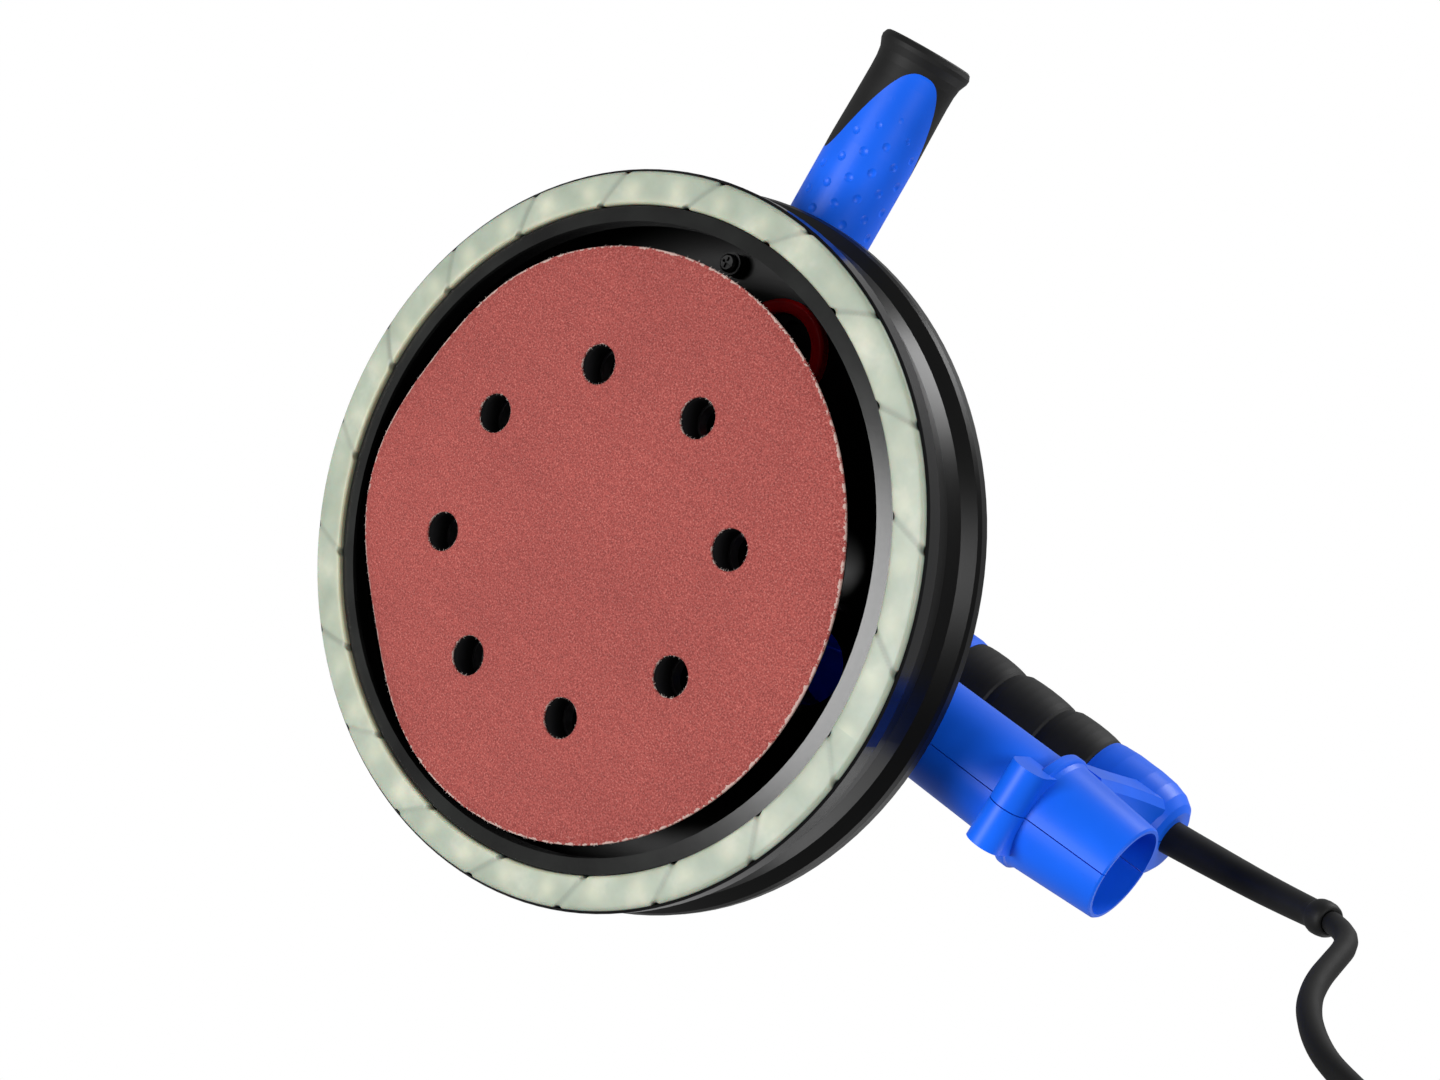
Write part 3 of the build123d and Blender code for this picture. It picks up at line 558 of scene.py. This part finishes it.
def make_foam():
    """Foam cushion behind the sheet, pressed soft along its rim."""
    bm = bmesh.new()
    rim = []
    for inset, z in FOAM_RIM:
        rim.append(loop_verts(bm, ORBIT, lambda a, inset=inset: min(sheet_radius(a), 0.1112) - 0.0012 - inset
                              + 0.0002 * ripple(a, inset * 900, (7, 13, 23)), lambda a, z=z: z, 360))
    for a, b in zip(rim, rim[1:]):
        bridge_loops(bm, a, b)
    low_edges = ring_edges_between(bm, rim[0])
    high_edges = ring_edges_between(bm, rim[-1])
    for k, centre in enumerate(hole_centres()):
        walls = []
        for radius, z in FOAM_HOLE:
            walls.append(loop_verts(
                bm, centre, lambda a, radius=radius, k=k, z=z: radius
                + 0.00012 * abs(ripple(a, k + 1 + z * 700, (5, 11, 19))), lambda a, z=z: z, 48))
        for a, b in zip(walls, walls[1:]):
            bridge_loops(bm, b, a)
        low_edges += ring_edges_between(bm, walls[0])
        high_edges += ring_edges_between(bm, walls[-1])
    bmesh.ops.triangle_fill(bm, use_beauty=True, use_dissolve=False, edges=low_edges)
    bmesh.ops.triangle_fill(bm, use_beauty=True, use_dissolve=False, edges=high_edges)
    bmesh.ops.recalc_face_normals(bm, faces=bm.faces)
    mesh = bpy.data.meshes.new("foam_cushion")
    bm.to_mesh(mesh)
    bm.free()
    foam = new_piece("foam_cushion", mesh, "foam", "pad", "foam", "foam_pad")


RING_IN, RING_OUT = 0.1258, 0.1385
RING_LOW, RING_HIGH = 0.0072, 0.0126
JOINT_FIRST, JOINT_STEP, JOINT_SLANT = 1.7, 18.0, 5.3


def joint_gap(radius, degrees):
    """(distance to the nearest slanted joint in metres, that joint's number)."""
    share = (radius - RING_IN) / (RING_OUT - RING_IN)
    turn = degrees - JOINT_FIRST - JOINT_SLANT * share
    number = round(turn / JOINT_STEP)
    gap = (turn - number * JOINT_STEP) * math.radians(1) * radius * math.cos(math.radians(44))
    return gap, number % 20


def make_skirt():
    """Milky ring in twenty slanted segments, notched where they meet, with rounded edges."""
    steps = 2400
    round_in, round_out = 0.0011, 0.0016
    profile = []
    for i in range(7):
        a = math.pi / 2 * i / 6
        profile.append((RING_IN + round_in * (1 - math.sin(a)), RING_LOW + round_in * (1 - math.cos(a))))
    first = [(RING_IN, RING_HIGH)] + profile
    flat_width = RING_OUT - round_out - RING_IN - round_in
    flat = [(RING_IN + round_in + flat_width * t / 10, RING_LOW) for t in range(1, 10)]
    last = []
    for i in range(7):
        a = math.pi / 2 * i / 6
        last.append((RING_OUT - round_out + round_out * math.sin(a),
                     RING_LOW + round_out * (1 - math.cos(a))))
    section = sorted(first, key=lambda p: (p[0], -p[1])) + flat + last + [(RING_OUT, RING_HIGH)]
    verts, joint_of, painted_glow_of, inner_of = [], [], [], []
    rng = random.Random(3)
    weight = [rng.uniform(0.5, 1.0) for _ in range(20)]
    for s in range(steps):
        degrees = 360 * s / steps
        for radius, z in section:
            gap, number = joint_gap(radius, degrees)
            share = (radius - RING_IN) / (RING_OUT - RING_IN)
            groove = math.exp(-(gap / 0.0003) ** 2)
            line = math.exp(-((gap - 0.0009) / 0.0003) ** 2)
            soft = math.exp(-(gap / 0.0011) ** 2)
            end = max(0.0, 1 - min(share, 1 - share) / 0.12)
            mouth = math.exp(-(gap / 0.0011) ** 4) * end
            crown = 0.00022 * (1 - (2 * share - 1) ** 2)
            lift = 0.0001 * groove + 0.0005 * mouth + 0.0002 - crown
            pull = 0.0007 * mouth * (1 if share < 0.5 else -1)
            if z >= RING_HIGH - 1e-6:
                lift = 0.0
            radius += pull
            a = math.radians(degrees)
            verts.append((radius * math.cos(a), radius * math.sin(a), min(z + lift, RING_HIGH)))
            joint_of.append(min(1.0, weight[number] * (0.75 * soft + 0.35 * line) + 0.45 * mouth))
            # painted glow: a warm spot of lamp light painted over each lamp, stronger on some lamps
            lamp = ((degrees - 8.8 + 4.5) % 9 - 4.5) * math.radians(1) * 0.132
            painted_glow_of.append(math.exp(-(lamp / 0.0045) ** 2 - ((share - 0.45) / 0.3) ** 2)
                           * (0.4 + 0.6 * math.sin(degrees * 0.37) ** 2))
            inner_of.append(math.exp(-(share / 0.10)) * (0.5 - 0.5 * math.cos(math.radians(degrees + 20))))
    width = len(section)
    faces = []
    for s in range(steps):
        t = (s + 1) % steps
        for k in range(width):
            m = (k + 1) % width
            faces.append((s * width + k, t * width + k, t * width + m, s * width + m))
    mesh = mesh_from("skirt_segments", verts, faces)
    for name, values in (("joint", joint_of), ("lamp", painted_glow_of), ("inner", inner_of)):
        mesh.attributes.new(name, "FLOAT", "POINT").data.foreach_set("value", values)
    new_piece("skirt_segments", mesh, "translucent", "housing", "translucent", "skirt_ring")


SLEEVE_ROUTE = [(0.1960, -0.0020, 0.1692), (0.2220, -0.0058, 0.1660), (0.2490, -0.0112, 0.1575), ROUTE[0]]


# The rolled collar: (distance past its start, radius).
SLEEVE_COLLAR = ((0.0007, 0.0058), (0.0014, 0.0063), (0.0026, 0.0067), (0.0046, 0.0068), (0.0068, 0.0066),
                 (0.0082, 0.0061), (0.0090, 0.0053), (0.0093, 0.0046), (0.0088, 0.0042), (0.0070, 0.0041))


def centreline(points, steps=24):
    """Points along the NURBS line of a route."""
    curve = bpy.data.curves.new("line", "CURVE")
    curve.dimensions = "3D"
    curve.resolution_u = steps
    spline = curve.splines.new("NURBS")
    spline.points.add(len(points) - 1)
    for point, place in zip(spline.points, points):
        point.co = (*place, 1)
    spline.order_u = 3
    spline.use_endpoint_u = True
    carrier = bpy.data.objects.new("line", curve)
    SCENE.collection.objects.link(carrier)
    bpy.context.view_layer.update()
    mesh = bpy.data.meshes.new_from_object(carrier)
    line = [v.co.copy() for v in mesh.vertices]
    bpy.data.objects.remove(carrier)
    bpy.data.meshes.remove(mesh)
    bpy.data.curves.remove(curve)
    return line


def make_sleeve():
    """Tapered bend relief with a rolled collar round the cord at its end."""
    inside = [Vector((x, -0.002, 0.1692)) for x in (0.1848, 0.188, 0.192)]
    line = inside + centreline(SLEEVE_ROUTE)
    length = [0.0]
    for a, b in zip(line, line[1:]):
        length.append(length[-1] + (b - a).length)
    total = length[-1]

    def at(s):
        for i in range(len(line) - 1):
            if s <= length[i + 1] or i == len(line) - 2:
                t = (s - length[i]) / max(1e-9, length[i + 1] - length[i])
                return line[i].lerp(line[i + 1], t), (line[i + 1] - line[i]).normalized()

    stations = [(0.0, 0.0104), (0.0028, 0.0104), (0.003, 0.0072)]
    stations += [(0.003 + (total - 0.0125) * t / 40, 0.0072 - 0.0018 * t / 40) for t in range(1, 41)]
    end = total - 0.0095
    stations += [(end + past, radius) for past, radius in SLEEVE_COLLAR]
    sides = 40
    verts, faces = [], []
    for s, radius in stations:
        centre, tangent = at(min(s, total))
        side = tangent.cross(Vector((0, 1, 0))).normalized()
        other = tangent.cross(side)
        for k in range(sides):
            a = math.tau * k / sides
            verts.append(centre + radius * (math.cos(a) * side + math.sin(a) * other))
    for j in range(len(stations) - 1):
        for k in range(sides):
            m = (k + 1) % sides
            faces.append((j * sides + k, j * sides + m, (j + 1) * sides + m, (j + 1) * sides + k))
    faces.append(tuple(range(sides)))
    mesh = mesh_from("tapered_sleeve", verts, faces)
    bm = bmesh.new()
    bm.from_mesh(mesh)
    bmesh.ops.recalc_face_normals(bm, faces=bm.faces)
    bm.to_mesh(mesh)
    bm.free()
    new_piece("tapered_sleeve", mesh, "black_rubber", "housing", "black_rubber", "cord_sleeve")


# --- stage ------------------------------------------------------------------------------------
FLOOR_SIZE = 50.0
FLOOR_Z = -0.0002


def make_floor():
    """Pale floor that only shows from above, so that the face can be seen from below."""
    mesh = bpy.data.meshes.new("floor")
    far = FLOOR_SIZE / 2
    mesh.from_pydata([(-far, -far, 0), (far, -far, 0), (far, far, 0), (-far, far, 0)], [], [(0, 1, 2, 3)])
    floor = bpy.data.objects.new("floor", mesh)
    SCENE.collection.objects.link(floor)
    floor.location.z = FLOOR_Z
    n = Nodes("floor")
    n.finish(n.ramp(n.noise(3, 2), (0.3, (0.86, 0.86, 0.86)), (0.7, (0.9, 0.9, 0.9))),
             n.spread(n.noise(40), 0.6, 0.8), n.bump(n.noise(400), 0.02, 0.0005),
             Emission_Color=(1, 1, 1, 1), Emission_Strength=0.25)
    output = n.tree.nodes["Material Output"]
    clear = n.add("ShaderNodeBsdfTransparent")
    choose = n.add("ShaderNodeMixShader")
    n.link(n.add("ShaderNodeNewGeometry").outputs["Backfacing"], choose.inputs[0])
    n.link(n.shader.outputs[0], choose.inputs[1])
    n.link(clear.outputs[0], choose.inputs[2])
    n.link(choose.outputs[0], output.inputs["Surface"])
    mesh.materials.append(n.material)
    floor.visible_shadow = False
    floor.visible_diffuse = False
    floor.visible_glossy = False
    floor.visible_transmission = False


def area_light(name, at, target, size, power):
    data = bpy.data.lights.new(name, "AREA")
    data.shape = "DISK"
    data.size = size
    data.energy = power
    light = bpy.data.objects.new(name, data)
    SCENE.collection.objects.link(light)
    light.location = at
    light.visible_camera = False
    light.rotation_mode = "QUATERNION"
    light.rotation_quaternion = (Vector(target) - Vector(at)).to_track_quat("-Z", "Y")


def make_world():
    """White surroundings to look at, dimmer ones to be lit by."""
    world = bpy.data.worlds.new("studio")
    SCENE.world = world
    world.use_nodes = True
    tree = world.node_tree
    rays = tree.nodes.new("ShaderNodeLightPath")
    place = tree.nodes.new("ShaderNodeTexCoord")
    upward = tree.nodes.new("ShaderNodeVectorMath")
    upward.operation = "DOT_PRODUCT"
    upward.inputs[1].default_value = BRIGHT_SIDE
    shade = tree.nodes.new("ShaderNodeMapRange")
    shade.inputs["From Min"].default_value = -0.35
    shade.inputs["From Max"].default_value = 0.75
    shade.inputs["To Min"].default_value = WORLD_DIM
    shade.inputs["To Max"].default_value = WORLD_BRIGHT
    seen = tree.nodes.new("ShaderNodeMix")
    tree.links.new(place.outputs["Generated"], upward.inputs[0])
    tree.links.new(upward.outputs["Value"], shade.inputs["Value"])
    tree.links.new(rays.outputs["Is Camera Ray"], seen.inputs["Factor"])
    tree.links.new(shade.outputs["Result"], seen.inputs["A"])
    seen.inputs["B"].default_value = 1.0
    background = tree.nodes["Background"]
    background.inputs["Color"].default_value = (1, 1, 1, 1)
    tree.links.new(seen.outputs["Result"], background.inputs["Strength"])


def make_light():
    """A soft box on the camera's side, one low on the right, and two above for the other views."""
    area_light("face_light", (-0.42, 0.28, -1.5), (0, 0, 0), 0.8, 26)
    area_light("edge_light", (1.3, -0.75, -0.62), (0.12, 0, 0.08), 0.8, 11)
    area_light("top_key", (0.3, -1.75, 1.3), (0.05, 0, 0.08), 1.0, 30)
    area_light("top_fill", (1.4, 1.0, 1.3), (0.05, 0, 0.08), 1.6, 14)
    SCENE.view_settings.view_transform = "Standard"


make_camera()
make_world()
dress_frame()
make_sleeve()
make_cord()
make_sheet()
make_fibres()
make_foam()
make_skirt()
make_floor()
make_light()
